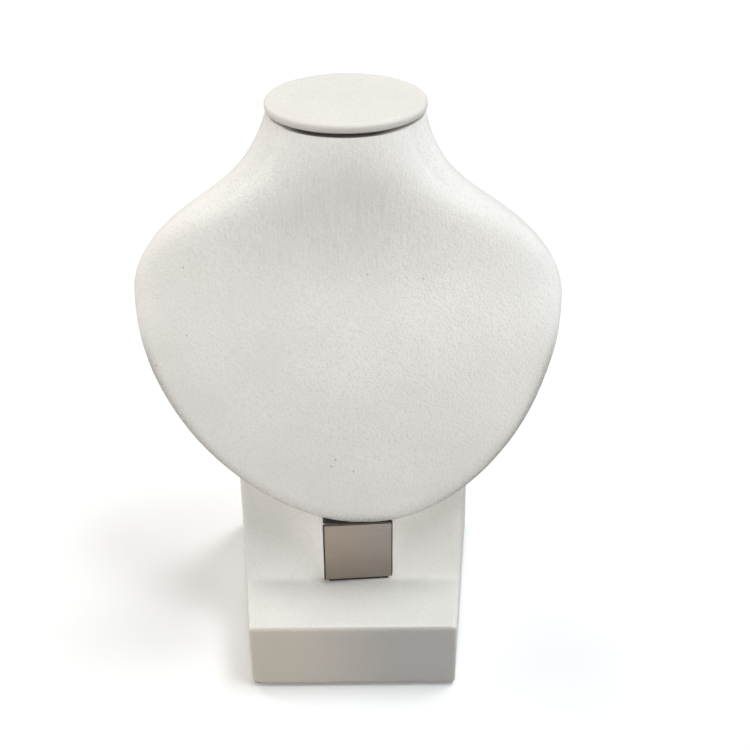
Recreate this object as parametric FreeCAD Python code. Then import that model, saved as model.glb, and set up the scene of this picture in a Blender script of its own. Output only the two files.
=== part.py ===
import FreeCAD, Part
import math
import os

from FreeCAD import Placement, Rotation, Vector

# Necklace stand: a covered bust that leans on a covered box-built stand.
# Millimetres. X to the right, Y to the back, Z up. The origin is the middle of the underside.
# A rise is a height above the ledge, where the front of the stand ends.
# An up is a distance along the leaning rest, from the fold between the ledge and the rest.

# Stand, measured over its covering
front_width = 79.4
side_splay = 5.2
stand_depth = 100.0
ledge_height = 31.5
ledge_depth = 27.5
rest_lean = 22.0
rest_rise = 80.0
crest_depth = 22.0
board = 6.0
stand_cover = 1.0
stand_round = 1.4
foot_pad = 1.5
foot_pad_margin = 2.0

# Block under the tip of the bust
block_width = 26.4
block_flare = 1.5
block_rise = 29.3
block_twist = 4.0
block_shift = 2.1
block_corner = 3.0
block_cover = 0.6

# Steel face plate and the foam tape behind it
plate_width = 26.4
plate_thickness = 1.2
plate_corner = 0.4
plate_rise = 29.2
plate_foot_gap = 2.2
plate_stand_off = 1.6
tape_thickness = 1.0
tape_margin = 0.3
tape_foot_gap = 0.6
tape_top_gap = 0.6

# Bust, one moulded form with its covering bonded on
shoulder_up = 116.5
shoulder_half = 80.1
slope_up = 147.0
slope_half = 63.0
root_up = 167.5
root_half = 40.9
neck_up = 193.6
neck_half = 28.7
neck_flare = 12.0
neck_depth = 43.6
neck_back_gap = 1.5
chest_fullness = 1.87
chest_crown = 14.0
crown_fade = 1.5
rim_depth = 14.0
rim_round = 5.0
back_overrun = 0.6
bust_shift = -0.5
tip_shift = 5.4
tip_shift_fade = 2.3
slope_shift = -1.3
lining = 0.8
lining_margin = 2.0

# Sections of the bust's loft, closer together near the tip
chest_steps = 22
neck_steps = 20
tip_start = 0.12
tip_crowding = 1.3
side_steps = 1
corner_steps = 2
front_steps = 3
back_steps = 6
neck_side_angle = 12.0
neck_corner_angle = 48.0

# Cap on the neck, an oval of four arcs
cap_width = 58.4
cap_depth = 44.2
cap_end_radius = 18.0
cap_board = 3.0
cap_cover = 1.0
cap_bevel = 1.2
cap_pad = 0.9
cap_pad_margin = 3.5

# Worked out from the sizes above
front_y = -stand_depth / 2.0
back_y = stand_depth / 2.0
fold_y = front_y + ledge_depth
lean = math.radians(rest_lean)
lean_run = math.tan(lean)
splay_run = math.tan(math.radians(side_splay))
crest_z = ledge_height + rest_rise
crest_y = fold_y + rest_rise * lean_run
block_front = fold_y - plate_stand_off + plate_thickness + tape_thickness
tip_up = block_rise * math.cos(lean) + (block_front - fold_y) * math.sin(lean)
far = 4.0 * shoulder_up

# The leaning rest as a frame: X across, Y up along the rest, Z out towards the bust
rest_frame = Placement(Vector(0, fold_y, ledge_height), Rotation(Vector(1, 0, 0), 90.0 - rest_lean))
twist = Placement(Vector(), Rotation(Vector(0, 0, 1), block_twist), Vector(block_shift, fold_y, 0))


def offset_polygon(points, distances):
    """Move each side of a counter-clockwise polygon inwards by its own distance."""
    moved = []
    for index, point in enumerate(points):
        before = (point - points[index - 1]).normalize()
        after = (points[(index + 1) % len(points)] - point).normalize()
        cross = before.x * after.y - before.y * after.x
        shift = after * (distances[index - 1] / cross) - before * (distances[index] / cross)
        moved.append(point + shift)
    return moved


def prism(points, direction):
    """Extrude a closed polygon."""
    outline = Part.makePolygon(points + [points[0]])
    return Part.Face(outline).extrude(direction)


def slab(start, thickness):
    """A wide slab parallel to the rest, from start to start + thickness in front of it."""
    block = Part.makeBox(far, far, thickness, Vector(-far / 2.0, -far / 2.0, start))
    block.Placement = rest_frame
    return block


def side_profile(skin, floor_skin):
    """The stand seen from its right side, as (depth, height), inset by its skins."""
    corners = [
        Vector(front_y, foot_pad),
        Vector(back_y, foot_pad),
        Vector(crest_y + crest_depth, crest_z),
        Vector(crest_y, crest_z),
        Vector(fold_y, ledge_height),
        Vector(front_y, ledge_height),
    ]
    return offset_polygon(corners, [floor_skin] + [skin] * 5)


def across(corners):
    """Extrude a side profile over more than the whole width."""
    placed = [Vector(-far / 2.0, corner.x, corner.y) for corner in corners]
    return prism(placed, Vector(far, 0, 0))


def plan_corners():
    """The stand seen from above: it widens to the back."""
    front_half = front_width / 2.0
    back_half = front_half + stand_depth * splay_run
    return [
        Vector(-front_half, front_y),
        Vector(front_half, front_y),
        Vector(back_half, back_y),
        Vector(-back_half, back_y),
    ]


def between_sides(skin):
    """All the space between the two splayed sides, inset by skin."""
    overrun = -board
    inset = offset_polygon(plan_corners(), [overrun, skin, overrun, skin])
    return prism(inset, Vector(0, 0, far))


def make_foot_pad():
    inset = offset_polygon(plan_corners(), [foot_pad_margin] * 4)
    return prism(inset, Vector(0, 0, foot_pad))


def make_stand_cover():
    """One covering over all sides of the boards, open underneath."""
    outside = across(side_profile(0.0, 0.0)).common(between_sides(0.0))
    rounded = [edge for edge in outside.Edges if is_cover_corner(edge)]
    inside = across(side_profile(stand_cover, 0.0)).common(between_sides(stand_cover))
    return outside.makeFillet(stand_round, rounded).cut(inside)


def is_cover_corner(edge):
    """True on the convex corners that the covering is pulled round."""
    middle = edge.CenterOfMass
    on_floor = edge.BoundBox.ZMax < foot_pad + stand_round
    in_fold = abs(middle.y - fold_y) < stand_round and edge.BoundBox.XLength > board
    return not on_floor and not in_fold


def make_stand_boards():
    """Six mitred boards between two side boards."""
    outer = side_profile(stand_cover, 0.0)
    inner = side_profile(stand_cover + board, board)
    width = between_sides(stand_cover + board)
    names = ["bottom", "back", "crest", "rest", "ledge", "front"]
    boards = {}
    for index, name in enumerate(names):
        following = (index + 1) % len(names)
        corners = [outer[index], outer[following], inner[following], inner[index]]
        boards["stand_" + name + "_board"] = across(corners).common(width)
    sides = across(outer).common(between_sides(stand_cover)).cut(width).Solids
    left, right = sorted(sides, key=lambda side: side.CenterOfMass.x)
    boards["stand_left_board"] = left
    boards["stand_right_board"] = right
    return boards


def tip_block(skin):
    """The block under the tip of the bust, between the rest and the face plate, inset by skin."""
    foot_half = block_width / 2.0 - skin
    height = block_rise + block_corner
    top_half = foot_half + block_flare * height / block_rise
    start = block_front + skin
    corners = [
        Vector(block_shift - foot_half, start, ledge_height),
        Vector(block_shift + foot_half, start, ledge_height),
        Vector(block_shift + top_half, start, ledge_height + height),
        Vector(block_shift - top_half, start, ledge_height + height),
    ]
    block = prism(corners, Vector(0, far, 0))
    block.Placement = twist
    top = tip_up - skin
    below_bust = Part.makeBox(far, far, far, Vector(-far / 2.0, top - far, 0))
    below_bust.Placement = rest_frame
    block = block.common(below_bust)
    upper = [edge for edge in block.Edges if is_top_side(edge, top)]
    return block.makeFillet(block_corner - skin, upper)


def is_top_side(edge, top):
    """True on the two upper corners of the tip block that run from its front to the rest."""
    ends = [rest_frame.inverse().multVec(vertex.Point) for vertex in edge.Vertexes]
    on_top = all(abs(end.y - top) < block_cover / 2.0 for end in ends)
    return on_top and edge.BoundBox.XLength < block_width / 2.0


def front_sheet(width, bottom, top, start, thickness, corner):
    """An upright sheet with rounded corners on the front of the tip block."""
    sheet = Part.makeBox(width, thickness, top - bottom, Vector(block_shift - width / 2.0, start, bottom))
    corners = [edge for edge in sheet.Edges if edge.BoundBox.YLength > thickness / 2.0]
    sheet = sheet.makeFillet(corner, corners)
    sheet.Placement = twist
    return sheet


def make_face_plate():
    bottom = ledge_height + plate_foot_gap
    top = ledge_height + plate_rise
    start = fold_y - plate_stand_off
    return front_sheet(plate_width, bottom, top, start, plate_thickness, plate_corner)


def make_face_tape():
    bottom = ledge_height + tape_foot_gap
    top = ledge_height + block_rise - tape_top_gap
    start = block_front - tape_thickness
    width = plate_width + 2.0 * tape_margin
    tape = front_sheet(width, bottom, top, start, tape_thickness, plate_corner)
    return tape.common(slab(0.0, far))


def smooth(share):
    return share * share * (3.0 - 2.0 * share)


def bust_stations():
    """Stations up the bust: up, half width, share left to the tip, share gained to the neck."""
    stations = []
    shares = [tip_start + (1.0 - tip_start) * step / chest_steps for step in range(chest_steps)]
    lows = [math.cos(math.pi / 2.0 * share ** tip_crowding) for share in shares]
    for low in lows:
        half = shoulder_half * (1.0 - low ** chest_fullness) ** (1.0 / chest_fullness)
        stations.append((shoulder_up - (shoulder_up - tip_up) * low / lows[0], half, low, 0.0))
    outline = Part.BSplineCurve()
    outline.interpolate(
        Points=[
            Vector(shoulder_half, shoulder_up),
            Vector(slope_half, slope_up),
            Vector(root_half, root_up),
            Vector(neck_half, neck_up),
        ],
        InitialTangent=Vector(0, 1),
        FinalTangent=Vector(-math.tan(math.radians(neck_flare)), 1),
    )
    for step in range(neck_steps + 1):
        point = outline.value(outline.LastParameter * step / neck_steps)
        high = (point.y - shoulder_up) / (neck_up - shoulder_up)
        stations.append((point.y, point.x, 0.0, high))
    return stations


def rim_point(turn, half, low):
    """The chest's rim: 0 to 1 up the side, 1 to 2 round the corner, 2 to 3 to the middle of the front."""
    climb = (shoulder_up - tip_up) * (1.0 - low)
    tip = math.sqrt(1.0 - (1.0 - min(1.0, climb / rim_round)) ** 2)
    reach = min(rim_round, half / 2.0)
    deep = rim_depth - rim_round * (1.0 - tip)
    side = deep - rim_round * tip
    if turn <= 1:
        return half, side * turn - back_overrun * (1.0 - turn)
    if turn <= 2:
        angle = math.pi / 2.0 * (turn - 1)
        return half - reach + reach * math.cos(angle), side + rim_round * tip * math.sin(angle)
    return (half - reach) * (3 - turn), deep


def neck_point(turn, half):
    """The neck's oval, with the same three parts in a quarter of it."""
    marks = [0.0, neck_side_angle, neck_corner_angle, 90.0]
    part = min(2, int(turn))
    angle = math.radians(marks[part] + (marks[part + 1] - marks[part]) * (turn - part))
    middle = neck_back_gap + neck_depth / 2.0
    return half * math.cos(angle), middle + neck_depth / 2.0 * math.sin(angle)


def bust_section(station):
    """A closed section in six edges: side, corner, front, corner, side and back."""
    up, half, low, high = station
    neck = smooth(high)
    tilt = lean * neck
    crown = chest_crown * (1.0 - low ** 2) * (1.0 - neck) ** crown_fade
    centre_x = bust_shift + tip_shift * low ** tip_shift_fade + 4.0 * slope_shift * high * (1.0 - high)

    def place(x, out):
        return Vector(centre_x + x, up - out * math.sin(tilt), out * math.cos(tilt))

    def front(side, turn):
        rim_x, rim_out = rim_point(turn, half, low)
        neck_x, neck_out = neck_point(turn, half)
        x = rim_x + (neck_x - rim_x) * neck
        out = rim_out + (neck_out - rim_out) * neck
        out += crown * (1.0 - min(1.0, x / half) ** 2) ** (1.0 + high)
        return place(side * x, out)

    def back(turn):
        flat_x = half * (1.0 - 2.0 * turn)
        neck_out = neck_back_gap + neck_depth / 2.0 * (1.0 - math.sin(math.pi * turn))
        x = flat_x + (half * math.cos(math.pi * turn) - flat_x) * neck
        return place(x, neck_out * neck - back_overrun * (1.0 - neck))

    def run(side, start, end, steps):
        return [front(side, start + (end - start) * step / float(steps)) for step in range(steps + 1)]

    edges = [
        run(-1, 0, 1, side_steps),
        run(-1, 1, 2, corner_steps),
        run(-1, 2, 3, front_steps) + run(1, 3, 2, front_steps)[1:],
        run(1, 2, 1, corner_steps),
        run(1, 1, 0, side_steps),
        [back(step / float(back_steps)) for step in range(back_steps + 1)],
    ]
    return Part.Wire([even_curve(points).toShape() for points in edges])


def even_curve(points):
    """A smooth curve through points, with the same share of its length of run between each two."""
    curve = Part.BSplineCurve()
    shares = [index / float(len(points) - 1) for index in range(len(points))]
    curve.interpolate(Points=points, Parameters=shares)
    return curve


def make_bust_lining():
    """A flat lining with the outline of the chest up to the shoulders, inset by its margin."""
    right = []
    left = []
    for up, half, low, high in bust_stations():
        if high > 0.0:
            break
        centre_x = bust_shift + tip_shift * low ** tip_shift_fade
        reach = max(half - lining_margin, half / 2.0)
        right.append(Vector(centre_x + reach, up + lining_margin * low, 0))
        left.append(Vector(centre_x - reach, up + lining_margin * low, 0))
    sides = [even_curve(right).toShape(), even_curve(left).toShape()]
    ends = [Part.LineSegment(left[0], right[0]).toShape(), Part.LineSegment(right[-1], left[-1]).toShape()]
    outline = Part.Wire(Part.sortEdges(sides + ends)[0])
    sheet = Part.Face(outline).extrude(Vector(0, 0, lining))
    sheet.Placement = rest_frame
    return sheet


def make_bust():
    """The form with its covering, and the lining on its flat back."""
    form = Part.makeLoft([bust_section(station) for station in bust_stations()], True, True)
    form.Placement = rest_frame
    return {
        "bust_form": form.common(slab(lining, far)),
        "bust_back_lining": make_bust_lining(),
    }


def oval(inset, bottom, height):
    """An upright block with the cap's oval outline, inset, on the axis of the neck."""
    half_width = cap_width / 2.0 - inset
    half_depth = cap_depth / 2.0 - inset
    end_radius = cap_end_radius - inset
    run = half_width - end_radius
    side_radius = (run ** 2 + half_depth ** 2 - end_radius ** 2) / (2.0 * (half_depth - end_radius))
    drop = side_radius - half_depth
    reach = Vector(run, drop, 0).normalize() * side_radius
    join = Vector(reach.x, reach.y - drop, 0)
    corners = [Vector(join.x * x, join.y * y, 0) for x, y in ((1, -1), (1, 1), (-1, 1), (-1, -1))]
    middles = [
        Vector(half_width, 0, 0),
        Vector(0, half_depth, 0),
        Vector(-half_width, 0, 0),
        Vector(0, -half_depth, 0),
    ]
    arcs = [Part.Arc(corners[index - 1], middles[index - 1], corners[index]).toShape() for index in range(4)]
    block = Part.Face(Part.Wire(Part.sortEdges(arcs)[0])).extrude(Vector(0, 0, height))
    block.translate(Vector(bust_shift, neck_centre_y(), bottom))
    return block


def neck_top():
    return ledge_height + neck_up * math.cos(lean)


def neck_centre_y():
    return fold_y + neck_up * math.sin(lean) - neck_depth / 2.0 - neck_back_gap


def make_cap():
    """The padded oval cap, set a little above the neck on a pad."""
    bottom = neck_top() + cap_pad
    outside = oval(0.0, bottom, cap_board + cap_cover)
    top_edge = [edge for edge in outside.Edges if edge.BoundBox.ZMin > bottom + cap_board]
    outside = outside.makeChamfer(cap_bevel, top_edge)
    plate = oval(cap_cover, bottom, cap_board)
    return {
        "neck_cap_cover": outside.cut(plate),
        "neck_cap_board": plate,
        "neck_cap_pad": oval(cap_pad_margin, neck_top(), cap_pad),
    }


parts = {"stand_foot_pad": make_foot_pad(), "stand_cover": make_stand_cover()}
parts.update(make_stand_boards())
parts["tip_block_cover"] = tip_block(0.0).cut(tip_block(block_cover))
parts["tip_block"] = tip_block(block_cover)
parts["face_plate"] = make_face_plate()
parts["face_plate_tape"] = make_face_tape()
parts.update(make_bust())
parts.update(make_cap())

os.makedirs("parts", exist_ok=True)
for name, shape in parts.items():
    shape.exportStep("parts/" + name + ".step")
    print(name, len(shape.Solids), shape.isValid(), round(shape.Volume / 1000.0, 2), "cm3")
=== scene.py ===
import math

import bmesh
import bpy
import numpy as np
from mathutils import Matrix, Vector, noise


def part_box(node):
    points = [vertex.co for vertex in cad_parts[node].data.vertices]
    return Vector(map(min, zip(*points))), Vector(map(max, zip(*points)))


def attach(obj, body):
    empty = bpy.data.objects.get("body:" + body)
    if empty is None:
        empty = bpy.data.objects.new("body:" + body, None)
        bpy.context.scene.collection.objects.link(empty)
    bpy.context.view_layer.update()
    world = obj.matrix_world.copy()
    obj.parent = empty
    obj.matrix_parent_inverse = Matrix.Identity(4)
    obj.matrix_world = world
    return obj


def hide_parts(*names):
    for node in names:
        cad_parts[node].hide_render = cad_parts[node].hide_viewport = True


# The looks of the necklace stand, in metres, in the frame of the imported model.
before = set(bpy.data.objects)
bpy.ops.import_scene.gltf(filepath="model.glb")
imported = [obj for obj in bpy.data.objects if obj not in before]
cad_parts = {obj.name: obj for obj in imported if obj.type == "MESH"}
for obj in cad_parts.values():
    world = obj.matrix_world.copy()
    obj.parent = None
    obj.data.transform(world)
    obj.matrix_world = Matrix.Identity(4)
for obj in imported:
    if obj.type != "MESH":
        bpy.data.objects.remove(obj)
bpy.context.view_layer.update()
MM = 0.001

# Sizes of the stand and the bust in mm, as in the part
FRONT_WIDTH = 79.4
SPLAY = math.tan(math.radians(5.2))
DEPTH = 100.0
LEDGE_HEIGHT = 31.5
LEDGE_DEPTH = 27.5
LEAN = math.radians(22.0)
REST_RISE = 80.0
CREST_DEPTH = 22.0
FOOT_PAD = 1.5
FOOT_MARGIN = 2.0
BLOCK_WIDTH = 26.4
BLOCK_FLARE = 1.5
BLOCK_RISE = 29.3
BLOCK_TWIST = math.radians(4.0)
BLOCK_SHIFT = 2.1
BLOCK_CORNER = 3.0
PLATE_WIDTH = 26.4
TAPE_WIDTH = 27.0
TAPE_LOW = 0.6
TAPE_HIGH = 28.7
TAPE_START = -0.4
TAPE_THICK = 1.0
SHOULDER = (80.1, 116.5)
SLOPE = (63.0, 147.0)
ROOT = (40.9, 167.5)
NECK = (28.7, 193.6)
NECK_FLARE = 12.0
NECK_DEPTH = 43.6
NECK_BACK_GAP = 1.5
FULLNESS = 1.87
CROWN = 14.0
CROWN_FADE = 1.5
RIM_DEPTH = 14.0
RIM_ROUND = 5.0
BACK_OVERRUN = 0.6
BUST_SHIFT = -0.5
TIP_SHIFT = 5.4
TIP_FADE = 2.3
SLOPE_SHIFT = -1.3
TIP_START = 0.12
TIP_CROWDING = 1.3
LINING = 0.8
LINING_MARGIN = 2.0
CAP = (58.4, 44.2)
CAP_PAD = 0.9

# Finer forms in mm, which only this script has
STAND_ROUND = 1.3
STAND_VOXEL = 0.9
BLOCK_VOXEL = 0.3
BLOCK_EDGE = 0.3
BLOCK_DEEP = 60.0
TAPE_EDGE = 0.12
LIP_EDGE = 0.3
# Creases at the right end of the front: from x, z to x, z, height and width
CREASES = (
    (29.5, 3.0, 39.0, 14.5, 0.34, 1.1),
    (33.0, 2.0, 39.5, 8.0, 0.24, 0.9),
    (24.0, 7.0, 37.5, 19.5, 0.16, 1.5),
)
LIFTED_FROM = -33.5
LIFTED_RUN = 6.0
LIFT = 1.3
NECK_TURN_IN = 0.8
PUCKER = 0.09
PUCKER_ROWS = 95
PUCKER_WIDTH = 4.5
FREE_FROM_REST = 3.0
LINING_TIP = 8.0
LINING_EDGE = 0.8
LINING_FUZZ = 0.12
FELT_FUZZ = 0.12
FELT_LEVELS = ((0.0, 0.35), (0.25, 0.0), (FOOT_PAD - 0.15, 0.0), (FOOT_PAD, 0.2))
LIP_HALF = 11.8
LIP_START = TAPE_START - 0.85
LIP_LOW = 0.7
LIP_HIGH = 2.1
CAP_LOWER_ROUND = 1.0
CAP_SIDE = 2.1
CAP_UPPER_INSET = 1.8
CAP_UPPER_RISE = 1.6
CAP_CROWN = 0.3
CAP_WAVE = 0.12
FOAM_MARGIN = 3.2
FOAM_BULGE = 0.3
FOAM_WAVE = 0.15

# How finely the bust is drawn: points round half a section, points along its back, and rings
SIDE_POINTS = 9
CORNER_POINTS = 14
FRONT_POINTS = 90
BACK_POINTS = 60
TIP_RINGS = 7
CHEST_RINGS = 150
NECK_RINGS = 110

# How finely the other pieces are drawn
LINING_COLUMNS = 90
FELT_STEPS = 70
CAP_POINTS = 260
CAP_TOP_RINGS = 46
FOAM_POINTS = 200

FRONT_Y = -DEPTH / 2
BACK_Y = DEPTH / 2
FOLD_Y = FRONT_Y + LEDGE_DEPTH
RUN = math.tan(LEAN)
BLOCK_FRONT = FOLD_Y + TAPE_START + TAPE_THICK
TIP_UP = BLOCK_RISE * math.cos(LEAN) + (BLOCK_FRONT - FOLD_Y) * math.sin(LEAN)
NECK_TOP = LEDGE_HEIGHT + NECK[1] * math.cos(LEAN)
NECK_Y = FOLD_Y + NECK[1] * math.sin(LEAN) - NECK_DEPTH / 2 - NECK_BACK_GAP

# The leaning rest as a frame: across, up along the rest, and out towards the bust
REST_POINT = np.array([0.0, FOLD_Y, LEDGE_HEIGHT])
REST_AXES = np.array(
    [
        [1.0, 0.0, 0.0],
        [0.0, math.sin(LEAN), math.cos(LEAN)],
        [0.0, -math.cos(LEAN), math.sin(LEAN)],
    ]
)


# Meshes


def mesh_object(name, verts_mm, faces, smooth=True):
    """A mesh from places in mm and faces, in the scene in metres."""
    mesh = bpy.data.meshes.new(name)
    mesh.from_pydata([tuple(v * MM for v in p) for p in verts_mm], [], faces)
    mesh.validate()
    if smooth:
        mesh.polygons.foreach_set("use_smooth", [True] * len(mesh.polygons))
    mesh.update()
    made = bpy.data.objects.new(name, mesh)
    bpy.context.scene.collection.objects.link(made)
    return made


def rings_mesh(name, rings):
    """A closed skin over a stack of rings, each an array of points in mm."""
    count = len(rings[0])
    verts = np.concatenate(rings)
    faces = []
    for level in range(len(rings) - 1):
        low = level * count
        for k in range(count):
            n = (k + 1) % count
            faces.append((low + k, low + n, low + count + n, low + count + k))
    faces.append(tuple(reversed(range(count))))
    top = (len(rings) - 1) * count
    faces.append(tuple(range(top, top + count)))
    return mesh_object(name, verts.tolist(), faces)


def apply_modifiers(piece):
    """Give a piece the mesh that its modifiers make of it."""
    bpy.context.view_layer.update()
    graph = bpy.context.evaluated_depsgraph_get()
    mesh = bpy.data.meshes.new_from_object(piece.evaluated_get(graph))
    piece.modifiers.clear()
    piece.data = mesh
    mesh.polygons.foreach_set("use_smooth", [True] * len(mesh.polygons))
    return piece


def coordinates(piece):
    flat = np.empty(len(piece.data.vertices) * 3)
    piece.data.vertices.foreach_get("co", flat)
    return flat.reshape(-1, 3)


def normals(piece):
    flat = np.empty(len(piece.data.vertices) * 3)
    piece.data.vertices.foreach_get("normal", flat)
    return flat.reshape(-1, 3)


def set_coordinates(piece, points):
    piece.data.vertices.foreach_set("co", points.ravel())
    piece.data.update()


def ripple(points, size, seed):
    """Smooth noise from -1 to 1 at each point, with bumps about size metres across."""
    away = Vector((seed * 7.3, seed * 3.1, seed * 5.7))
    return np.array([noise.noise(Vector(p) / size + away) for p in points])


def unevenness(points, *waves):
    """Heights in mm at each point, from waves given as height in mm, size in metres and seed."""
    return sum(high * ripple(points, size, seed) for high, size, seed in waves)


def push_out(piece, heights):
    """Move each vertex along its normal by its height in mm."""
    set_coordinates(piece, coordinates(piece) + normals(piece) * (heights * MM)[:, None])


def even_out(piece, voxel, passes):
    """Draw a piece anew with even cells of the given size in mm, and relax it."""
    remesh = piece.modifiers.new("even", "REMESH")
    remesh.mode = "VOXEL"
    remesh.voxel_size = voxel * MM
    relax = piece.modifiers.new("relax", "SMOOTH")
    relax.factor = 0.5
    relax.iterations = passes
    return apply_modifiers(piece)


# Bust


def clamped_spline(points, start_slope, end_slope, samples):
    """Cubic through the points by chord length, with the given unit tangents at its ends."""
    points = np.array(points, float)
    way = np.concatenate([[0.0], np.cumsum(np.linalg.norm(np.diff(points, axis=0), axis=1))])
    span = np.diff(way)
    count = len(points)
    matrix = np.zeros((count, count))
    right = np.zeros((count, 2))
    matrix[0, 0] = matrix[-1, -1] = 1.0
    right[0], right[-1] = start_slope, end_slope
    for i in range(1, count - 1):
        matrix[i, i - 1 : i + 2] = span[i], 2 * (span[i - 1] + span[i]), span[i - 1]
        before = (points[i] - points[i - 1]) / span[i - 1]
        after = (points[i + 1] - points[i]) / span[i]
        right[i] = 3 * (span[i] * before + span[i - 1] * after)
    slopes = np.linalg.solve(matrix, right)
    out = []
    for place in np.linspace(0.0, way[-1], samples):
        i = min(int(np.searchsorted(way, place, side="right")) - 1, count - 2)
        s = (place - way[i]) / span[i]
        out.append(
            (2 * s**3 - 3 * s**2 + 1) * points[i]
            + (s**3 - 2 * s**2 + s) * span[i] * slopes[i]
            + (3 * s**2 - 2 * s**3) * points[i + 1]
            + (s**3 - s**2) * span[i] * slopes[i + 1]
        )
    return np.array(out)


def front_turns():
    """The front half of a section: 0 to 1 up the side, 1 to 2 round the corner, 2 to 3 to the middle."""
    side = np.linspace(0, 1, SIDE_POINTS)
    corner = np.linspace(1, 2, CORNER_POINTS)
    front = np.linspace(2, 3, FRONT_POINTS)
    return np.concatenate([side[:-1], corner[:-1], front])


def rim_points(turn, half, low):
    """A slab with rounded front corners, whose rounding runs out at the tip."""
    climb = (SHOULDER[1] - TIP_UP) * (1 - low)
    tip = math.sqrt(1 - (1 - min(1.0, climb / RIM_ROUND)) ** 2)
    reach = min(RIM_ROUND, half / 2)
    deep = RIM_DEPTH - RIM_ROUND * (1 - tip)
    side = deep - RIM_ROUND * tip
    angle = np.radians(90.0 * np.clip(turn - 1, 0, 1))
    x = half - reach + reach * np.cos(angle)
    x = np.where(turn > 2, (half - reach) * (3 - turn), x)
    out = side * np.clip(turn, 0, 1) - BACK_OVERRUN * np.clip(1 - turn, 0, 1)
    return x, out + RIM_ROUND * tip * np.sin(angle)


def neck_points(turn, half, share):
    """The oval of the neck, at the same pace as the rim's points: share is their way across."""
    side_turn = 6.0
    across = np.arccos(np.clip(share, 0, 1)) * (90 - side_turn) / 90
    angle = np.radians(side_turn * np.minimum(turn, 1)) + across
    return half * np.cos(angle), NECK_BACK_GAP + NECK_DEPTH / 2 * (1 + np.sin(angle))


def bust_ring(up, half, low, high):
    """A closed section in the rest's frame, in mm: square to the rest on the chest, level at the neck."""
    neck = high * high * (3 - 2 * high)
    crown = CROWN * (1 - low**2) * (1 - neck) ** CROWN_FADE
    turn = front_turns()
    rim_x, rim_out = rim_points(turn, half, low)
    neck_x, neck_out = neck_points(turn, half, rim_x / half)
    x = rim_x + (neck_x - rim_x) * neck
    out = rim_out + (neck_out - rim_out) * neck
    out = out + crown * (1 - np.minimum(1, x / half) ** 2) ** (1 + high**2)
    back = np.linspace(0, 1, BACK_POINTS + 2)[1:-1]
    flat_x = half * (1 - 2 * back)
    back_x = flat_x + (half * np.cos(math.pi * back) - flat_x) * neck
    back_out = (NECK_BACK_GAP + NECK_DEPTH / 2 * (1 - np.sin(math.pi * back))) * neck
    back_out = back_out - BACK_OVERRUN * (1 - neck)
    x = np.concatenate([-x, x[::-1][1:], back_x])
    out = np.concatenate([out, out[::-1][1:], back_out])
    centre_x = BUST_SHIFT + TIP_SHIFT * low**TIP_FADE + 4 * SLOPE_SHIFT * high * (1 - high)
    tilt = LEAN * neck
    height = np.maximum(out * math.cos(tilt), LINING)
    return np.stack([centre_x + x, up - out * math.sin(tilt), height], 1)


def bust_stations():
    """Where each section lies: up the rest, half width, share towards the tip and towards the neck."""
    flat_low = math.cos(math.pi / 2 * TIP_START**TIP_CROWDING)
    stations = []
    tip = np.linspace(0.02, TIP_START, TIP_RINGS)[:-1]
    chest = np.linspace(TIP_START, 1.0, CHEST_RINGS)
    for way in np.concatenate([tip, chest]):
        low = math.cos(math.pi / 2 * way**TIP_CROWDING)
        half = SHOULDER[0] * (1 - low**FULLNESS) ** (1 / FULLNESS)
        up = SHOULDER[1] - (SHOULDER[1] - TIP_UP) * min(1.0, low / flat_low)
        stations.append((up, half, low, 0.0))
    flare = math.radians(NECK_FLARE)
    outline = clamped_spline(
        (SHOULDER, SLOPE, ROOT, NECK),
        (0.0, 1.0),
        (-math.sin(flare), math.cos(flare)),
        NECK_RINGS,
    )
    for half, up in outline[1:]:
        stations.append((up, half, 0.0, (up - SHOULDER[1]) / (NECK[1] - SHOULDER[1])))
    return stations


def soften_slopes(grid):
    """The covering is pulled smoothly from the shoulders' rim into the slopes of the neck."""
    lowest, highest, fade = 98, 182, 26
    rate, passes = 0.4, 170
    front = 2 * len(front_turns()) - 1
    up = grid[:, front // 2, 1]
    share = np.clip((up - lowest) / fade, 0, 1) * np.clip((highest - up) / fade, 0, 1)
    share = (rate * share * share * (3 - 2 * share))[:, None]
    out = grid[:, :front, 2]
    for _ in range(passes):
        out[:, 4:-4] += share * (out[:, 3:-5] + out[:, 5:-3] - 2 * out[:, 4:-4])
    return grid


def turn_in(rings, edge):
    """Close a stack of rings by turning its top edge in, in mm."""
    top = rings[-1]
    middle = top.mean(axis=0)
    lengths = np.linalg.norm(top - middle, axis=1)[:, None]
    rings[-1] = top + [0, 0, -edge]
    for turn in (22.5, 45.0, 67.5, 90.0):
        a = math.radians(turn)
        ring = middle + (top - middle) * (1 - edge * (1 - math.cos(a)) / lengths)
        ring[:, 2] = top[:, 2] - edge + edge * math.sin(a)
        rings.append(ring)
    rings.append(middle + (top - middle) * 0.5)


def puckers(points, up, stands_off):
    """Small puckers, from -1 to 1, where the covering is pulled over the lower rim."""
    lower = np.clip((SHOULDER[1] + 10 - up) / 60, 0, 1)
    rim = np.exp(-(((stands_off - RIM_DEPTH * 0.35) / PUCKER_WIDTH) ** 2)) * lower
    sideways = np.arctan2(up - SHOULDER[1], points[:, 0] / MM)
    rows = np.sin(sideways * PUCKER_ROWS + 3 * ripple(points, 0.03, 4))
    return rows * (0.5 + 0.5 * ripple(points, 0.012, 3)) * rim


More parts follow.
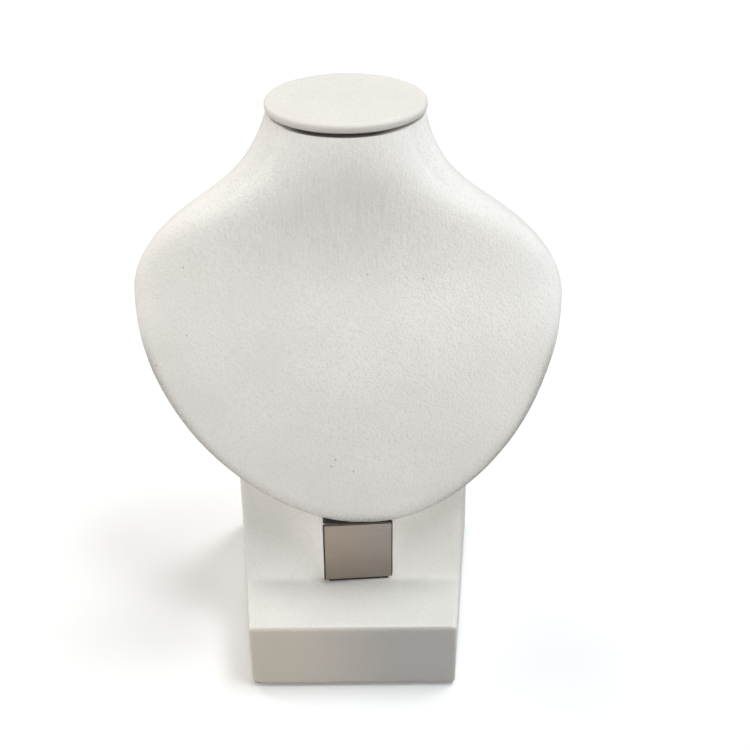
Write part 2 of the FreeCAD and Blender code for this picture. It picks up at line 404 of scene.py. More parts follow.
def make_bust():
    """The covering over the bust, with slow swells and puckers, lying flat along the rest."""
    grid = soften_slopes(np.array([bust_ring(*station) for station in bust_stations()]))
    rings = [REST_POINT + ring @ REST_AXES for ring in grid]
    turn_in(rings, NECK_TURN_IN)
    bust = rings_mesh("bust_wrap", rings)
    points = coordinates(bust)
    _, up, out = ((points / MM - REST_POINT) @ REST_AXES.T).T
    stands_off = out - LINING
    free = np.clip(stands_off / FREE_FROM_REST, 0, 1)
    swell = unevenness(points, (0.10, 0.020, 1), (0.05, 0.008, 2))
    push_out(bust, (swell + PUCKER * puckers(points, up, stands_off)) * free)
    bust.data.set_sharp_from_angle(angle=math.radians(50))
    return bust


def make_lining():
    """A flocked sheet glued flat on the back of the chest, with a soft edge."""
    columns = np.linspace(-1, 1, LINING_COLUMNS)
    verts, area = [], 0.0
    stations = [s for s in bust_stations() if s[3] == 0.0 and s[1] > LINING_TIP]
    last = None
    for up, half, low, _ in stations:
        reach = half - LINING_MARGIN
        row = up + LINING_MARGIN * low
        if last is not None:
            area += (reach + last[0]) * (row - last[1])
        last = (reach, row)
        centre_x = BUST_SHIFT + TIP_SHIFT * low**TIP_FADE
        inside = np.minimum((1 - np.abs(columns)) * reach, min(row - TIP_UP, SHOULDER[1] - row))
        edge = np.clip(1 - inside / LINING_EDGE, 0, 1)
        places = [Vector((centre_x + reach * c, row, 3.0)) for c in columns]
        fuzz = np.array([LINING_FUZZ * noise.noise(place * 0.35) for place in places])
        out = LINING_FUZZ + (LINING - LINING_FUZZ) * edge**2 + fuzz * (1 - edge)
        verts.append(np.stack([centre_x + columns * reach, np.full_like(columns, row), out], 1))
    count = len(columns)
    points = REST_POINT + np.concatenate(verts) @ REST_AXES
    faces = [
        (r * count + k, (r + 1) * count + k, (r + 1) * count + k + 1, r * count + k + 1)
        for r in range(len(verts) - 1)
        for k in range(count - 1)
    ]
    sheet = mesh_object("lining_sheet", points.tolist(), faces)
    rows = [v[0][1] for v in verts]
    width = 2 * max(s[1] - LINING_MARGIN for s in stations)
    return sheet, (width * MM, (rows[-1] - rows[0]) * MM), area * MM * MM


# Stand


def stand_corner(y, z, side):
    """A place on the left (-1) or right (1) side, which widens to the back."""
    half = FRONT_WIDTH / 2 + (y - FRONT_Y) * SPLAY
    return (side * half, y, z)


def stand_block():
    """The stand's outer form with rounded edges, except at the fold and along the foot."""
    crest_z = LEDGE_HEIGHT + REST_RISE
    crest_y = FOLD_Y + REST_RISE * RUN
    profile = [
        (FRONT_Y, FOOT_PAD),
        (BACK_Y, FOOT_PAD),
        (crest_y + CREST_DEPTH, crest_z),
        (crest_y, crest_z),
        (FOLD_Y, LEDGE_HEIGHT),
        (FRONT_Y, LEDGE_HEIGHT),
    ]
    count = len(profile)
    verts = [stand_corner(y, z, side) for side in (-1, 1) for y, z in profile]
    faces = [tuple(range(count)), tuple(reversed(range(count, 2 * count)))]
    for k in range(count):
        n = (k + 1) % count
        faces.append((k, k + count, n + count, n))
    wrap = mesh_object("stand_wrap", verts, faces, smooth=False)
    shell = bmesh.new()
    shell.from_mesh(wrap.data)
    bmesh.ops.recalc_face_normals(shell, faces=shell.faces)
    rounded = []
    for edge in shell.edges:
        a, b = (v.co / MM for v in edge.verts)
        on_floor = max(a.z, b.z) < FOOT_PAD + 0.01
        in_fold = abs(a.y - FOLD_Y) < 0.01 and abs(b.y - FOLD_Y) < 0.01
        if not on_floor and not in_fold:
            rounded.append(edge)
    size = STAND_ROUND * MM
    bmesh.ops.bevel(shell, geom=rounded, offset=size, segments=5, profile=0.5, affect="EDGES")
    shell.to_mesh(wrap.data)
    shell.free()
    return even_out(wrap, STAND_VOXEL, 3)


def slack_creases(points):
    """Heights in mm of the creases at the right end of the front, each along a line from x, z to x, z."""
    x, y, z = (points / MM).T
    front = np.clip(1 - np.abs(y - FRONT_Y) / 2.0, 0, 1)
    total = 0
    for x0, z0, x1, z1, high, wide in CREASES:
        length = math.hypot(x1 - x0, z1 - z0)
        ux, uz = (x1 - x0) / length, (z1 - z0) / length
        run = (x - x0) * ux + (z - z0) * uz
        off = (x - x0) * uz - (z - z0) * ux
        ends = np.clip(run / 3, 0, 1) * np.clip((length - run) / 3, 0, 1)
        total = total + high * np.exp(-((off / wide) ** 2)) * ends * front
    return total


def lift_corner(piece):
    """The bottom left corner of the front has lifted a little."""
    points = coordinates(piece)
    x, y, z = (points / MM).T
    corner = np.clip((LIFTED_FROM - x) / LIFTED_RUN, 0, 1) * np.clip((FRONT_Y + 4 - y) / 4, 0, 1)
    low = np.clip((FOOT_PAD + 3.0 - z) / 3.0, 0, 1)
    points[:, 2] += LIFT * MM * corner**1.5 * low
    set_coordinates(piece, points)


def make_stand_wrap():
    """The covering over the stand, with slow swells, creases and the lifted corner."""
    wrap = stand_block()
    points = coordinates(wrap)
    swell = unevenness(points, (0.10, 0.024, 6), (0.05, 0.009, 7)) - 0.04
    push_out(wrap, np.clip(swell + slack_creases(points), -0.2, 0.35))
    lift_corner(wrap)
    return wrap


def make_foot_pad():
    """A pressed felt pad with an uneven edge."""
    corners = []
    for y, side in ((FRONT_Y, -1), (FRONT_Y, 1), (BACK_Y, 1), (BACK_Y, -1)):
        inner_y = y + (FOOT_MARGIN if y < 0 else -FOOT_MARGIN)
        half = FRONT_WIDTH / 2 + (inner_y - FRONT_Y) * SPLAY - FOOT_MARGIN * math.hypot(1, SPLAY)
        corners.append((side * half, inner_y))
    loop = []
    for k in range(4):
        a, b = np.array(corners[k]), np.array(corners[(k + 1) % 4])
        loop += [a + (b - a) * step / FELT_STEPS for step in range(FELT_STEPS)]
    rings = []
    for z, inset in FELT_LEVELS:
        ring = []
        for point in loop:
            fuzz = FELT_FUZZ * noise.noise(Vector((point[0] * 0.9, point[1] * 0.9, z * 3)))
            scale = 1 - (inset + FELT_FUZZ + fuzz) / max(abs(point[0]), abs(point[1]))
            ring.append((point[0] * scale, point[1] * scale, z))
        rings.append(np.array(ring))
    return rings_mesh("foot_felt", rings)


# Tip block and tape


def turned_corners(half, front, back, z):
    """The corners of a level rectangle that is turned with the tip block, in mm."""
    c, s = math.cos(BLOCK_TWIST), math.sin(BLOCK_TWIST)
    corners = []
    for x, y in ((-half, front), (half, front), (half, back), (-half, back)):
        corners.append((BLOCK_SHIFT + x * c - y * s, FOLD_Y + x * s + y * c, LEDGE_HEIGHT + z))
    return corners


def cut_off(box, point, away):
    """Cut off all that lies beyond a plane, and close the cut."""
    parts = list(box.verts) + list(box.edges) + list(box.faces)
    made = bmesh.ops.bisect_plane(box, geom=parts, plane_co=point, plane_no=away, clear_outer=True)
    rim = [g for g in made["geom_cut"] if isinstance(g, bmesh.types.BMEdge)]
    bmesh.ops.edgeloop_fill(box, edges=rim)
    bmesh.ops.recalc_face_normals(box, faces=box.faces)


def turned_box(low, high, half_low, half_high, front, deep):
    """A box in mm on the front of the rest, turned with the tip block and cut along the rest."""
    box = bmesh.new()
    corners = []
    for z, half in ((low, half_low), (high, half_high)):
        corners += [box.verts.new(p) for p in turned_corners(half, front, front + deep, z)]
    for quad in ((3, 2, 1, 0), (4, 5, 6, 7), (0, 1, 5, 4), (1, 2, 6, 5), (2, 3, 7, 6), (3, 0, 4, 7)):
        box.faces.new([corners[k] for k in quad])
    cut_off(box, REST_POINT + REST_AXES[2] * 0.02, -REST_AXES[2])
    return box


def round_top_ends(box, widest):
    """Round the short edges at the two ends of the block's top."""
    ends = []
    for edge in box.edges:
        ups = [float((np.array(v.co) - REST_POINT) @ REST_AXES[1]) for v in edge.verts]
        span = abs(edge.verts[0].co.x - edge.verts[1].co.x)
        if min(ups) > TIP_UP - 0.05 and span < widest:
            ends.append(edge)
    bmesh.ops.bevel(box, geom=ends, offset=BLOCK_CORNER, segments=8, profile=0.5, affect="EDGES")


def soft_piece(name, box, edge):
    """A piece with an even mesh in metres, from a box in mm whose sharp edges are rounded."""
    least_angle = 0.6
    sharp = [e for e in box.edges if len(e.link_faces) == 2 and e.calc_face_angle(0) > least_angle]
    bmesh.ops.bevel(box, geom=sharp, offset=edge, segments=2, profile=0.5, affect="EDGES")
    for v in box.verts:
        v.co *= MM
    mesh = bpy.data.meshes.new(name)
    box.to_mesh(mesh)
    box.free()
    made = bpy.data.objects.new(name, mesh)
    bpy.context.scene.collection.objects.link(made)
    return even_out(made, BLOCK_VOXEL, 2)


def make_block_wrap():
    """The covering over the block under the tip, wider to the top, with rounded upper ends."""
    half = BLOCK_WIDTH / 2
    rise = BLOCK_RISE + BLOCK_CORNER
    flared = half + BLOCK_FLARE * rise / BLOCK_RISE
    box = turned_box(0.0, rise, half, flared, BLOCK_FRONT - FOLD_Y, BLOCK_DEEP)
    cut_off(box, REST_POINT + REST_AXES[1] * TIP_UP, REST_AXES[1])
    round_top_ends(box, half)
    wrap = soft_piece("block_wrap", box, BLOCK_EDGE)
    push_out(wrap, unevenness(coordinates(wrap), (0.05, 0.006, 12)) - 0.02)
    return wrap


def make_tape():
    """Foam tape between the block and the plate."""
    half = TAPE_WIDTH / 2
    box = turned_box(TAPE_LOW, TAPE_HIGH, half, half, TAPE_START, TAPE_THICK)
    return soft_piece("tape_foam", box, TAPE_EDGE)


def make_tape_lip():
    """Foam squeezed out under the lower edge of the plate."""
    box = turned_box(LIP_LOW, LIP_HIGH, LIP_HALF, LIP_HALF, LIP_START, TAPE_THICK)
    return soft_piece("tape_lip", box, LIP_EDGE)


# Cap on the neck


def oval_ring(size, inset, z, around, wave=0.0, seed=0):
    """A level oval of points in mm over the neck, inset from a size, with a faintly wavy outline."""
    half_x, half_y = size[0] / 2 - inset, size[1] / 2 - inset
    x = half_x * np.cos(around)
    y = half_y * np.sin(around)
    if wave:
        places = [Vector((math.cos(a) * 4, math.sin(a) * 4, seed)) for a in around]
        push = np.array([noise.noise(place) for place in places])
        x = x * (1 + wave * push / half_x)
        y = y * (1 + wave * push / half_y)
    return np.stack([BUST_SHIFT + x, NECK_Y + y, np.full_like(x, z)], 1)


def cap_profile():
    """Inset and rise in mm of the cap's rim, from where it turns under to the edge of its top."""
    profile = []
    for turn in np.radians(np.linspace(-78, 0, 7)):
        inset = CAP_LOWER_ROUND * (1 - math.cos(turn))
        profile.append((inset, CAP_LOWER_ROUND * (1 + math.sin(turn))))
    for turn in np.radians(np.linspace(0, 90, 15)):
        inset = CAP_UPPER_INSET * (1 - math.cos(turn))
        profile.append((inset, CAP_SIDE + CAP_UPPER_RISE * math.sin(turn)))
    return profile


def make_cap():
    """A padded oval: soft rounded edge, a slightly crowned top, and a rim that turns under."""
    around = np.arange(CAP_POINTS) / CAP_POINTS * 2 * math.pi
    bottom = NECK_TOP + CAP_PAD
    seed = 1.5
    rings = [oval_ring(CAP, 6, bottom + 0.02, around)]
    for inset, rise in cap_profile():
        rings.append(oval_ring(CAP, inset, bottom + rise, around, CAP_WAVE, seed))
    for share in np.linspace(0.0, 1.0, CAP_TOP_RINGS)[1:-1]:
        inset = CAP_UPPER_INSET + share * (CAP[1] / 2 - CAP_UPPER_INSET - 0.4)
        z = bottom + CAP_SIDE + CAP_UPPER_RISE + CAP_CROWN * (1 - (1 - share) ** 2.4)
        rings.append(oval_ring(CAP, inset, z, around, CAP_WAVE * (1 - share), seed))
    cap = rings_mesh("cap_wrap", rings)
    push_out(cap, unevenness(coordinates(cap), (0.09, 0.014, 9), (0.04, 0.005, 10)))
    points = coordinates(cap)
    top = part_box("neck_cap_cover")[1][2]
    points[:, 2] = np.minimum(points[:, 2], top + 0.3 * MM)
    set_coordinates(cap, points)
    return cap


def make_cap_pad():
    """Squeezed foam between the neck and the cap."""
    around = np.arange(FOAM_POINTS) / FOAM_POINTS * 2 * math.pi
    seed = 4.5
    rings = [oval_ring(CAP, FOAM_MARGIN + 1, NECK_TOP + 0.02, around)]
    for turn in np.radians(np.linspace(-80, 80, 9)):
        inset = FOAM_MARGIN + FOAM_BULGE * (1 - math.cos(turn))
        z = NECK_TOP + CAP_PAD / 2 + (CAP_PAD / 2 - 0.03) * math.sin(turn)
        rings.append(oval_ring(CAP, inset, z, around, FOAM_WAVE, seed))
    rings.append(oval_ring(CAP, FOAM_MARGIN + 1, NECK_TOP + CAP_PAD - 0.02, around))
    return rings_mesh("cap_foam", rings)


# Materials


class Shader:
    """A node material with a principled surface and short calls for its parts."""

    def __init__(self, name, color, roughness, **sockets):
        self.material = bpy.data.materials.new(name)
        self.material.use_nodes = True
        self.tree = self.material.node_tree
        self.surface = self.tree.nodes["Principled BSDF"]
        self.surface.inputs["Base Color"].default_value = (*color, 1)
        self.surface.inputs["Roughness"].default_value = roughness
        for socket, value in sockets.items():
            self.surface.inputs[socket.replace("_", " ").title()].default_value = value
        self.material.diffuse_color = (*color, 1)
        self.where = self.node("ShaderNodeTexCoord").outputs["Object"]

    def node(self, kind, **settings):
        """Add a node with the given settings."""
        made = self.tree.nodes.new(kind)
        for key, value in settings.items():
            setattr(made, key, value)
        return made

    def link(self, source, target):
        self.tree.links.new(source, target)

    def mapped(self, scale, turn=(0, 0, 0)):
        """The place, turned and then scaled along each axis."""
        made = self.node("ShaderNodeMapping")
        made.inputs["Scale"].default_value = scale
        made.inputs["Rotation"].default_value = turn
        self.link(self.where, made.inputs["Vector"])
        return made.outputs["Vector"]

    def framed(self, origin, turn):
        """The place in a frame of its own, with its origin and turn given in the object's frame."""
        made = self.node("ShaderNodeMapping", vector_type="TEXTURE")
        made.inputs["Location"].default_value = origin
        made.inputs["Rotation"].default_value = turn
        self.link(self.where, made.inputs["Vector"])
        return made.outputs["Vector"]

    def split(self, vector):
        """The three parts of a vector."""
        made = self.node("ShaderNodeSeparateXYZ")
        self.link(vector, made.inputs[0])
        return made.outputs

    def vector(self, kind, a, b):
        """A vector sum of an output and a fixed vector."""
        made = self.node("ShaderNodeVectorMath", operation=kind)
        self.link(a, made.inputs[0])
        made.inputs[1].default_value = b
        return made.outputs["Value" if kind == "DISTANCE" else "Vector"]

    def noise(self, scale, detail=3.0, rough=0.5, vector=None):
        """Cloudy noise about the middle of 0 to 1."""
        made = self.node("ShaderNodeTexNoise")
        made.inputs["Scale"].default_value = scale
        made.inputs["Detail"].default_value = detail
        made.inputs["Roughness"].default_value = rough
        self.link(vector or self.where, made.inputs["Vector"])
        return made.outputs["Fac"]

    def cells(self, scale, feature="SMOOTH_F1"):
        """The distance to the nearest of many scattered points."""
        made = self.node("ShaderNodeTexVoronoi", feature=feature)
        made.inputs["Scale"].default_value = scale
        self.link(self.where, made.inputs["Vector"])
        return made.outputs["Distance"]

    def math(self, kind, a, b=0.0):
        """A sum with one or two values, each a number or an output."""
        made = self.node("ShaderNodeMath", operation=kind)
        for socket, value in zip(made.inputs, (a, b)):
            if isinstance(value, (int, float)):
                socket.default_value = value
            else:
                self.link(value, socket)
        return made.outputs[0]

    def ramp(self, source, low, high, to_low=0.0, to_high=1.0):
        """A smooth rise from to_low at low up to to_high at high."""
        made = self.node("ShaderNodeMapRange", interpolation_type="SMOOTHSTEP")
        made.inputs["From Min"].default_value = low
        made.inputs["From Max"].default_value = high
        made.inputs["To Min"].default_value = to_low
        made.inputs["To Max"].default_value = to_high
        self.link(source, made.inputs["Value"])
        return made.outputs["Result"]

    def blend(self, share, a, b):
        """Colour a at share 0 and colour b at share 1."""
        made = self.node("ShaderNodeMix", data_type="RGBA")
        self.link(share, made.inputs["Factor"])
        for socket, value in ((made.inputs[6], a), (made.inputs[7], b)):
            if isinstance(value, tuple):
                socket.default_value = (*value, 1)
            else:
                self.link(value, socket)
        return made.outputs[2]

    def color(self, source):
        self.link(source, self.surface.inputs["Base Color"])

    def rough(self, source):
        self.link(source, self.surface.inputs["Roughness"])

    def bump(self, height, strength, distance, under=None):
        """Relief on the surface, over another relief where one is given."""
        made = self.node("ShaderNodeBump")
        made.inputs["Strength"].default_value = strength
        made.inputs["Distance"].default_value = distance
        self.link(height, made.inputs["Height"])
        if under is not None:
            self.link(under, made.inputs["Normal"])
        self.link(made.outputs["Normal"], self.surface.inputs["Normal"])
        return made.outputs["Normal"]


# Small dark flecks on the chest: across and up along the rest, in mm
FLECKS = (
    (-60.4, 128.2),
    (6.8, 126.4),
    (27.0, 124.5),
    (-60.2, 102.8),
    (-72.4, 90.4),
    (-5.8, 55.3),
    (-7.4, 52.4),
    (0.9, 50.3),
)


PEBBLE_SCALE = 1250.0
FINE_SCALE = 2600.0
PATCH_SCALE = 38.0
BROAD_SCALE = 11.0


class Leatherette(Shader):
    """White synthetic leather with pebble grain, whose marks are laid over its tone one by one."""

    def __init__(self, name, base):
        super().__init__(name, base, 0.62, sheen_weight=0.12, sheen_roughness=0.5)
        self.base = base
        self.pebbles = self.cells(PEBBLE_SCALE)
        bright = tuple(min(1.0, v * 1.035) for v in base)
        warm = (base[0] * 0.99, base[1] * 0.965, base[2] * 0.93)
        patches = self.ramp(self.noise(PATCH_SCALE, 3.0, 0.5), 0.3, 0.72)
        valley_shade = self.ramp(self.pebbles, 0.28, 0.75)
        self.tone = self.blend(patches, self.shade(0.975), bright)
        # Painted shade: the pebble valleys are painted darker.
        self.mark(self.math("MULTIPLY", valley_shade, 0.55), self.shade(0.90))
        self.mark(self.ramp(self.noise(BROAD_SCALE, 2.0, 0.5), 0.35, 0.75, 0.0, 0.45), warm)

    def shade(self, share):
        """A darker tone of the same white."""
        return tuple(v * share for v in self.base)

    def mark(self, share, colour):
        """Lay a colour over the tone."""
        self.tone = self.blend(share, self.tone, colour)

    def both(self, a, b):
        """The share where two shares meet."""
        return self.math("MULTIPLY", a, b)

    def lying(self):
        """The place in the frame of the leaning rest: across, up along it and out from it."""
        return self.framed(tuple(REST_POINT * MM), (math.pi / 2 - LEAN, 0, 0))

    def flecks(self, spots):
        """Small dark flecks with ragged edges, each at its place across and up the rest in mm."""
        flat = self.vector("MULTIPLY", self.lying(), (1, 1, 0))
        ragged = self.math("MULTIPLY", self.noise(1900.0, 1.0), 0.0005)
        dots = 0.0
        for x, up in spots:
            away = self.math("ADD", self.vector("DISTANCE", flat, (x * MM, up * MM, 0)), ragged)
            dots = self.math("MAXIMUM", dots, self.ramp(away, 0.00035, 0.00075, 0.6, 0.0))
        self.mark(dots, self.shade(0.3))

    def painted_front_shade(self):
        """Painted shade: the front of the base is painted darker, brownish on its left and greyer on its
        right, as the light falls there.
        """
        x, y, _ = self.split(self.where)
        on_front = self.ramp(y, (FRONT_Y + 0.4) * MM, (FRONT_Y + 1.2) * MM, 1.0, 0.0)
        # Painted shade, warmer on the left and greyer on the right
        front_shade = self.blend(self.ramp(x, -0.024, 0.020), (0.69, 0.635, 0.555), (0.50, 0.49, 0.475))
        self.mark(self.math("MULTIPLY", on_front, 0.93), front_shade)

    def neck_lines(self):
        """Fine upright lines where the covering is stretched round the neck."""
        lines = self.noise(1.0, 2.0, 0.6, self.mapped((1300.0, 1300.0, 45.0)))
        _, _, z = self.split(self.where)
        stretched = self.ramp(z, 0.135, 0.175)
        self.mark(self.both(stretched, self.ramp(lines, 0.42, 0.7, 0.0, 0.30)), self.shade(0.80))

    def shaded_bust_rim(self):
        """Painted shade: the lower rim of the bust, where it rounds under, is painted darker."""
        _, up, out = self.split(self.lying())
        on_rim = self.ramp(out, 0.0125, 0.0163, 0.85, 0.0)
        rim_shade = self.both(on_rim, self.ramp(up, 0.085, 0.110, 1.0, 0.0))
        rim_shade = self.both(rim_shade, self.ramp(self.pebbles, 0.15, 0.6, 0.55, 1.0))
        self.mark(rim_shade, (0.42, 0.40, 0.37))

    def shaded_neck_edge(self):
        """Painted shadow: the neck's top edge, in the gap under the cap, is painted black in the middle of
        its front.
        """
        x, y, z = self.split(self.where)
        edge = self.ramp(z, (NECK_TOP - 0.70) * MM, (NECK_TOP - 0.25) * MM)
        middle = self.both(self.ramp(x, -0.030, -0.014), self.ramp(x, 0.008, 0.026, 1.0, 0.1))
        in_front = self.ramp(y, NECK_Y * MM, NECK_Y * MM - 0.006, 0.0, 0.94)
        self.mark(self.both(self.both(edge, middle), in_front), (0.03, 0.024, 0.018))

    def shaded_cap_rim(self):
        """Painted shade: the cap's rim is painted darker towards its lower edge, in front."""
        bottom = NECK_TOP + CAP_PAD
        _, y, z = self.split(self.where)
        low = self.ramp(z, bottom * MM, (bottom + 3.4) * MM, 0.62, 0.0)
        in_front = self.ramp(y, NECK_Y * MM, NECK_Y * MM - 0.012, 0.0, 1.0)
        self.mark(self.both(low, in_front), (0.52, 0.49, 0.46))

    def shaded_block_top(self):
        """Painted shadow: the top of the block, under the tip of the bust, is painted black."""
        _, up, _ = self.split(self.lying())
        self.mark(self.ramp(up, (TIP_UP - 0.75) * MM, (TIP_UP - 0.45) * MM), (0.012, 0.010, 0.009))

    def finish(self, grain):
        """Lay the tone on the surface with its relief, and hand over the material."""
        fine = self.noise(FINE_SCALE, 2.0, 0.6)
        self.color(self.tone)
        self.rough(self.ramp(fine, 0.2, 0.8, 0.54, 0.70))
        height = self.math("SUBTRACT", self.math("MULTIPLY", fine, 0.45), self.pebbles)
        coarse = self.bump(self.noise(260.0, 2.0, 0.5), 0.10 * grain, 0.0006)
        self.bump(height, 0.42 * grain, 0.00030, coarse)
        return self.material


def bust_covering():
    # The bust's white is set brighter than the stand's, as painted light.
    s = Leatherette("leatherette_bust", (0.92, 0.905, 0.875))
    s.flecks(FLECKS)
    s.neck_lines()
    s.shaded_bust_rim()
    s.shaded_neck_edge()
    return s.finish(1.5)


def stand_covering():
    s = Leatherette("leatherette_stand", (0.83, 0.815, 0.785))
    s.painted_front_shade()
    return s.finish(1.4)


def block_covering():
    # The block's white is set brighter than the stand's, as painted light on its lit sides.
    s = Leatherette("leatherette_block", (0.965, 0.96, 0.95))
    s.shaded_block_top()
    return s.finish(0.6)


def cap_covering():
    s = Leatherette("leatherette_cap", (0.825, 0.795, 0.75))
    s.shaded_cap_rim()
    return s.finish(0.55)


def brushed_plate():
    """Level brushing, with a painted reflection that is browner at the left and greyer at the right, painted
    shade towards the bottom, and a painted shadow line at its two ends.
    """
    s = Shader("plate_steel", (0.50, 0.46, 0.42), 0.42, metallic=1.0, anisotropic=0.55)
    place = s.framed((BLOCK_SHIFT * MM, FOLD_Y * MM, LEDGE_HEIGHT * MM), (0, 0, BLOCK_TWIST))
    across, _, rise = s.split(place)
    lines = s.noise(1.0, 3.0, 0.65, s.mapped((60.0, 60.0, 5200.0)))
    fine = s.noise(1.0, 2.0, 0.6, s.mapped((160.0, 160.0, 14000.0)))
    cloudy = s.noise(95.0, 3.0, 0.5)
    half = PLATE_WIDTH / 2 * MM
    # Painted reflection: browner at the left, greyer at the right
    tone = s.blend(s.ramp(across, -half, half), (0.385, 0.322, 0.262), (0.338, 0.308, 0.286))
    tone = s.blend(s.ramp(lines, 0.3, 0.7, 0.0, 0.22), tone, (0.22, 0.20, 0.18))
    tone = s.blend(s.ramp(cloudy, 0.35, 0.8, 0.0, 0.3), tone, (0.30, 0.25, 0.21))
    # Painted shade towards the bottom
    tone = s.blend(s.ramp(rise, 0.004, 0.016, 0.25, 0.0), tone, (0.26, 0.21, 0.19))
    # Painted shadow line at the plate's two ends
    edge = s.ramp(s.math("ABSOLUTE", across), half - 0.0005, half - 0.0001, 0.0, 0.92)
    s.color(s.blend(edge, tone, (0.03, 0.027, 0.025)))
    s.rough(s.ramp(fine, 0.25, 0.75, 0.34, 0.50))
    s.bump(lines, 0.12, 0.00012)
    return s.material


def foam():
    base = (0.018, 0.017, 0.016)
    s = Shader("foam_black", base, 0.95)
    pores = s.cells(2600.0, feature="F1")
    s.color(s.blend(s.ramp(pores, 0.2, 0.7), base, tuple(v * 0.45 for v in base)))
    s.bump(pores, 0.5, 0.0003)
    return s.material


def cloth(name, base, scale=1700.0):
    """Short fibres that lie two ways."""
    s = Shader(name, base, 0.92, sheen_weight=0.35, sheen_roughness=0.6)
    fibres = s.mapped((scale, scale * 0.6, scale * 0.25), (0.3, 0.1, 0.8))
    cross = s.mapped((scale * 0.25, scale * 0.6, scale), (0.1, 0.4, -0.5))
    both = s.math("ADD", s.noise(1.0, 3.0, 0.7, fibres), s.noise(1.0, 3.0, 0.7, cross))
    nap = s.math("MULTIPLY", both, 0.5)
    light = tuple(min(1, v * 1.15) for v in base)
    s.color(s.blend(s.ramp(nap, 0.3, 0.7), tuple(v * 0.75 for v in base), light))
    s.bump(nap, 0.6, 0.0004)
    return s.material


def fibreboard():
    s = Shader("fibreboard", (0.42, 0.29, 0.17), 0.85)
    fibres = s.noise(900.0, 5.0, 0.7)
    flecks = s.noise(230.0, 2.0, 0.5)
    tone = s.blend(s.ramp(fibres, 0.3, 0.7), (0.34, 0.22, 0.12), (0.50, 0.36, 0.22))
    s.color(s.blend(s.ramp(flecks, 0.55, 0.8, 0.0, 0.6), tone, (0.26, 0.17, 0.10)))
    s.bump(fibres, 0.3, 0.0002)
    return s.material


def softwood():
    s = Shader("softwood", (0.62, 0.45, 0.26), 0.7)
    rings = s.noise(1.0, 3.0, 0.5, s.mapped((30.0, 420.0, 420.0)))
    pores = s.noise(1.0, 3.0, 0.6, s.mapped((180.0, 3200.0, 3200.0)))
    tone = s.blend(s.ramp(rings, 0.35, 0.65), (0.66, 0.50, 0.30), (0.50, 0.33, 0.17))
    s.color(s.blend(s.ramp(pores, 0.55, 0.8, 0.0, 0.5), tone, (0.34, 0.21, 0.10)))
    s.bump(pores, 0.25, 0.0002)
    return s.material


bust_white = bust_covering()
stand_white = stand_covering()
block_white = block_covering()
cap_white = cap_covering()
tape = foam()
felt = cloth("felt_dark", (0.045, 0.043, 0.04))
lining = cloth("lining_cloth", (0.74, 0.73, 0.69), 1300.0)
board = fibreboard()

by_node = {
    "stand_foot_pad": felt,
    "stand_cover": stand_white,
    "tip_block_cover": stand_white,
    "tip_block": softwood(),
    "face_plate": brushed_plate(),
    "face_plate_tape": tape,
    "bust_form": bust_white,
    "bust_back_lining": lining,
    "neck_cap_cover": cap_white,
    "neck_cap_pad": tape,
}
for name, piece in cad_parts.items():
    piece.data.materials.clear()
    piece.data.materials.append(by_node.get(name, board))


def place(piece, material, node, slot):
    """Put a made piece in the place of a node of the part."""
    piece.data.materials.clear()
    piece.data.materials.append(material)
    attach(piece, "root")
    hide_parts(node)
    return piece


place(make_bust(), bust_white, "bust_form", "leatherette")
place(make_stand_wrap(), stand_white, "stand_cover", "leatherette")
place(make_foot_pad(), felt, "stand_foot_pad", "foot_felt")
cap = place(make_cap(), cap_white, "neck_cap_cover", "leatherette")
place(make_cap_pad(), tape, "neck_cap_pad", "foam_tape")
place(make_block_wrap(), block_white, "tip_block_cover", "leatherette")
place(make_tape(), tape, "face_plate_tape", "foam_tape")
place(make_tape_lip(), tape, "face_plate_tape", "foam_tape")
back_sheet, lining_size, lining_area = make_lining()
place(back_sheet, lining, "bust_back_lining", "lining_cloth")


# Floor, light and camera


# Soft round panels: azimuth, elevation, colour times strength
PANELS = (
    (0, 8, (6.45, 6.32, 6.17)),
    (90, 8, (3.3, 3.5, 3.7)),
    (270, 8, (5.7, 5.6, 5.5)),
    (225, 35, (3.5, 3.2, 2.9)),
    (135, 35, (1.2, 1.3, 1.36)),
)
PANEL_EDGE = math.radians(24)
PANEL_MIDDLE = math.radians(7)
FLOOR_GLOW = 0.16
LAMP_SIZE = 1.4
LAMP_DISTANCE = 4
LAMP_AIM = Vector((0, 0, 0.10))
SENSOR = 36.0
FOCAL_LENGTH = 1590.0 / 750.0 * SENSOR
CAMERA_PLACE = (0.0092, -0.4912, 0.4581)
CAMERA_TILT = math.radians(55.0)
CAMERA_ROLL = math.radians(-0.42)


def make_floor():
    """A sheet of paper that is white as seen and in mirrors, and lights the stand only faintly."""
    size = 4000.0
    floor = mesh_object(
        "floor",
        [(-size, -size, 0), (size, -size, 0), (size, size, 0), (-size, size, 0)],
        [(0, 1, 2, 3)],
        smooth=False,
    )
    s = Shader("floor_paper", (0.5, 0.5, 0.5), 0.9)
    path = s.node("ShaderNodeLightPath")
    seen = s.math("MAXIMUM", path.outputs["Is Camera Ray"], path.outputs["Is Transmission Ray"])
    seen = s.math("MAXIMUM", seen, path.outputs["Is Glossy Ray"])
    s.color(s.blend(seen, (0.05, 0.047, 0.043), (0.97, 0.97, 0.97)))
    s.surface.inputs["Emission Color"].default_value = (1, 1, 1, 1)
    glow = s.math("MULTIPLY", path.outputs["Is Camera Ray"], FLOOR_GLOW)
    s.link(glow, s.surface.inputs["Emission Strength"])
    floor.data.materials.append(s.material)


def toward(azimuth, elevation):
    """The direction of a light: azimuth in degrees from the front to the right, elevation above level."""
    a, e = math.radians(azimuth), math.radians(elevation)
    return Vector((math.sin(a) * math.cos(e), -math.cos(a) * math.cos(e), math.sin(e)))


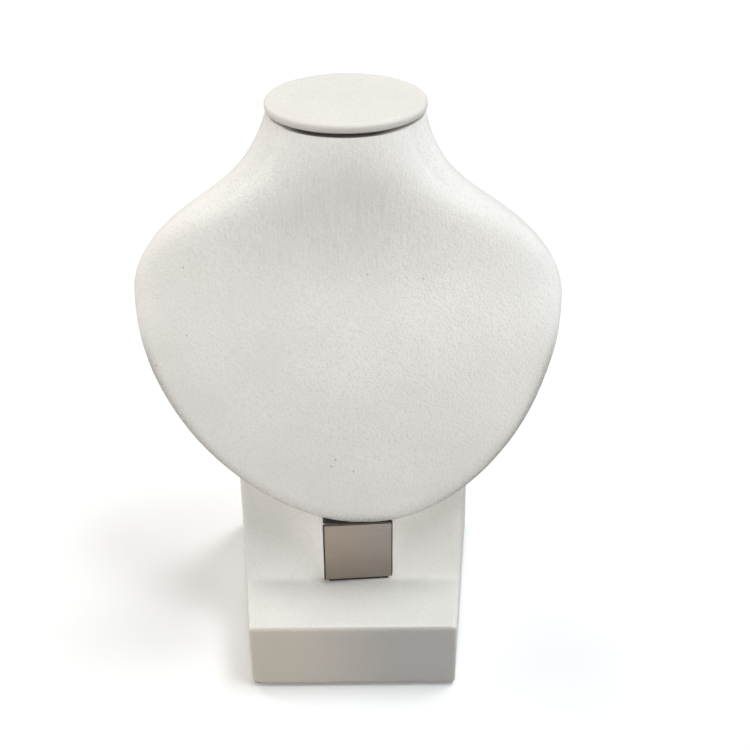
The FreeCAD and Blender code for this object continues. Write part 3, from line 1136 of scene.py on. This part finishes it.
def add_panel(tree, where, panel, under):
    """Add the light of one panel to that of the panels before it."""
    azimuth, elevation, colour = panel
    dot = tree.nodes.new("ShaderNodeVectorMath")
    dot.operation = "DOT_PRODUCT"
    dot.inputs[1].default_value = toward(azimuth, elevation)
    tree.links.new(where, dot.inputs[0])
    spread = tree.nodes.new("ShaderNodeMapRange")
    spread.interpolation_type = "SMOOTHSTEP"
    spread.inputs["From Min"].default_value = math.cos(PANEL_EDGE)
    spread.inputs["From Max"].default_value = math.cos(PANEL_MIDDLE)
    tree.links.new(dot.outputs["Value"], spread.inputs["Value"])
    added = tree.nodes.new("ShaderNodeVectorMath")
    added.operation = "MULTIPLY_ADD"
    added.inputs[1].default_value = colour
    added.inputs[2].default_value = (0, 0, 0)
    tree.links.new(spread.outputs["Result"], added.inputs[0])
    if under is not None:
        tree.links.new(under, added.inputs[2])
    return added.outputs["Vector"]


def seen_share(tree):
    """1 for what the camera sees, straight or in a mirror or through glass, and 0 for light on the stand."""
    path = tree.nodes.new("ShaderNodeLightPath")
    share = path.outputs["Is Camera Ray"]
    for ray in ("Is Glossy Ray", "Is Transmission Ray"):
        either = tree.nodes.new("ShaderNodeMath")
        either.operation = "MAXIMUM"
        tree.links.new(share, either.inputs[0])
        tree.links.new(path.outputs[ray], either.inputs[1])
        share = either.outputs[0]
    return share


def make_world():
    """Panels of soft light all about, behind a background that is seen as white."""
    world = bpy.data.worlds.new("studio")
    bpy.context.scene.world = world
    world.use_nodes = True
    tree = world.node_tree
    tree.nodes.clear()
    where = tree.nodes.new("ShaderNodeTexCoord").outputs["Generated"]
    total = None
    for panel in PANELS:
        total = add_panel(tree, where, panel, total)
    light = tree.nodes.new("ShaderNodeBackground")
    tree.links.new(total, light.inputs["Color"])
    white = tree.nodes.new("ShaderNodeBackground")
    white.inputs["Color"].default_value = (1, 1, 1, 1)
    mix = tree.nodes.new("ShaderNodeMixShader")
    tree.links.new(seen_share(tree), mix.inputs["Fac"])
    tree.links.new(light.outputs[0], mix.inputs[1])
    tree.links.new(white.outputs[0], mix.inputs[2])
    out = tree.nodes.new("ShaderNodeOutputWorld")
    tree.links.new(mix.outputs[0], out.inputs["Surface"])


def add_lamp(name, azimuth, elevation, power, tint):
    """A soft round lamp overhead, aimed at the middle of the stand."""
    lamp = bpy.data.lights.new(name, "AREA")
    lamp.shape = "DISK"
    lamp.size = LAMP_SIZE
    lamp.energy = power
    lamp.color = tint
    made = bpy.data.objects.new(name, lamp)
    away = toward(azimuth, elevation)
    made.location = LAMP_AIM + away * LAMP_DISTANCE
    made.rotation_euler = (-away).to_track_quat("-Z", "Y").to_euler()
    bpy.context.scene.collection.objects.link(made)


def make_camera():
    """The photo's camera, fitted to the corners of the base, the fold, the tip and the cap."""
    lens = bpy.data.cameras.new("camera")
    lens.sensor_width = SENSOR
    lens.lens = FOCAL_LENGTH
    lens.clip_start = 0.01
    lens.clip_end = 50.0
    camera = bpy.data.objects.new("camera", lens)
    camera.matrix_world = (
        Matrix.Translation(CAMERA_PLACE)
        @ Matrix.Rotation(CAMERA_TILT, 4, "X")
        @ Matrix.Rotation(CAMERA_ROLL, 4, "Z")
    )
    bpy.context.scene.collection.objects.link(camera)
    bpy.context.scene.camera = camera


make_floor()
make_world()
add_lamp("right_front", 60, 68, 50.0, (0.94, 1.0, 1.02))
add_lamp("right_back", 120, 68, 47.5, (0.98, 1.0, 0.99))
make_camera()
bpy.context.scene.view_settings.view_transform = "Standard"
